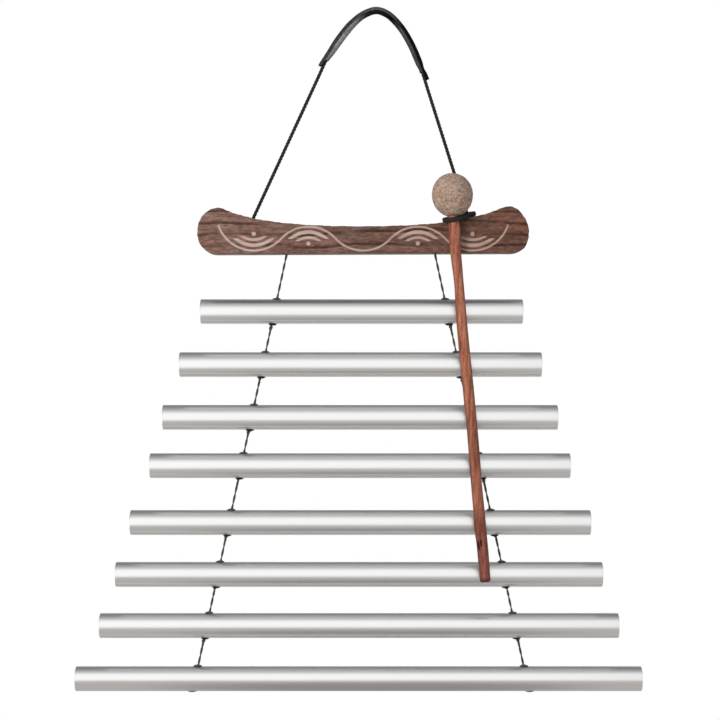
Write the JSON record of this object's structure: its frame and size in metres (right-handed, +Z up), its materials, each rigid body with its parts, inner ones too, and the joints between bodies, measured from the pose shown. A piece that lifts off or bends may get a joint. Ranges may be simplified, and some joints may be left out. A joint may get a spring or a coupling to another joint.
{
  "type": "bar chime",
  "caption": "Hanging bar chime: a ladder of metal tubes on cords under a waisted wooden header, with a carrying cord, a grip and a parked ball beater.",
  "frame": {"origin": "hang point: the underside of the grip at the top of its arch, where a hook or a finger carries the chime", "axes": "+Z up, +X along the tubes to the right of a viewer, +Y to the back, so the viewer and the parked beater are on the -Y side"},
  "size_m": [0.4567, 0.0469, 0.5537],
  "materials": {
    "aluminium": "satin anodised tube with fine drawing lines along it",
    "header_wood": "oiled dark walnut with streaks along the grain",
    "stick_wood": "smooth reddish hardwood stick",
    "cork": "bare agglomerated cork",
    "cord": "black laid cord",
    "rubber": "matt black rubber",
    "grip_leather": "black leather sleeve, smooth outside and rough inside"
  },
  "bodies": {
    "hanger": {"grip_sleeve": "grip_leather", "hanger_cord": "cord"},
    "header": {"header": "header_wood", "hanger_anchor_left": "cord", "hanger_anchor_right": "cord", "ladder_anchor_left": "cord", "ladder_anchor_right": "cord", "ring": "rubber"},
    "row_1": {"tube_1": "aluminium", "bush_left_1": "rubber", "bush_right_1": "rubber", "cord_left_1": "cord", "cord_right_1": "cord"},
    "row_2": {"tube_2": "aluminium", "bush_left_2": "rubber", "bush_right_2": "rubber", "cord_left_2": "cord", "cord_right_2": "cord"},
    "row_3": {"tube_3": "aluminium", "bush_left_3": "rubber", "bush_right_3": "rubber", "cord_left_3": "cord", "cord_right_3": "cord"},
    "row_4": {"tube_4": "aluminium", "bush_left_4": "rubber", "bush_right_4": "rubber", "cord_left_4": "cord", "cord_right_4": "cord"},
    "row_5": {"tube_5": "aluminium", "bush_left_5": "rubber", "bush_right_5": "rubber", "cord_left_5": "cord", "cord_right_5": "cord"},
    "row_6": {"tube_6": "aluminium", "bush_left_6": "rubber", "bush_right_6": "rubber", "cord_left_6": "cord", "cord_right_6": "cord"},
    "row_7": {"tube_7": "aluminium", "bush_left_7": "rubber", "bush_right_7": "rubber", "cord_left_7": "cord", "cord_right_7": "cord"},
    "row_8": {"tube_8": "aluminium", "bush_left_8": "rubber", "bush_right_8": "rubber", "cord_left_8": "cord", "cord_right_8": "cord"},
    "beater": {"beater_ball": "cork", "beater_stick": "stick_wood"}
  },
  "joints": [
    {"name": "header_tilt", "type": "hinge", "parent": "hanger", "child": "header", "pos_m": [-0.0126, 0, -0.16483], "axis": [1, 0, 0], "range_deg": [0, 20]},
    {"name": "tube_1_swing", "type": "hinge", "parent": "header", "child": "row_1", "pos_m": [-0.0126, 0, -0.1942], "axis": [1, 0, 0], "range_deg": [0, 30]},
    {"name": "tube_2_swing", "type": "hinge", "parent": "row_1", "child": "row_2", "pos_m": [-0.0126, 0, -0.25728], "axis": [1, 0, 0], "range_deg": [0, 30]},
    {"name": "tube_3_swing", "type": "hinge", "parent": "row_2", "child": "row_3", "pos_m": [-0.0126, 0, -0.30008], "axis": [1, 0, 0], "range_deg": [0, 30]},
    {"name": "tube_4_swing", "type": "hinge", "parent": "row_3", "child": "row_4", "pos_m": [-0.0126, 0, -0.34268], "axis": [1, 0, 0], "range_deg": [0, 30]},
    {"name": "tube_5_swing", "type": "hinge", "parent": "row_4", "child": "row_5", "pos_m": [-0.0126, 0, -0.38168], "axis": [1, 0, 0], "range_deg": [0, 30]},
    {"name": "tube_6_swing", "type": "hinge", "parent": "row_5", "child": "row_6", "pos_m": [-0.0126, 0, -0.42758], "axis": [1, 0, 0], "range_deg": [0, 30]},
    {"name": "tube_7_swing", "type": "hinge", "parent": "row_6", "child": "row_7", "pos_m": [-0.0126, 0, -0.46948], "axis": [1, 0, 0], "range_deg": [-30, 30]},
    {"name": "tube_8_swing", "type": "hinge", "parent": "row_7", "child": "row_8", "pos_m": [-0.0126, 0, -0.51078], "axis": [1, 0, 0], "range_deg": [-30, 30]},
    {"name": "beater_lift", "type": "slide", "parent": "header", "child": "beater", "axis": [-0.0913, 0, 0.9958], "range_m": [0, 0.3]}
  ]
}
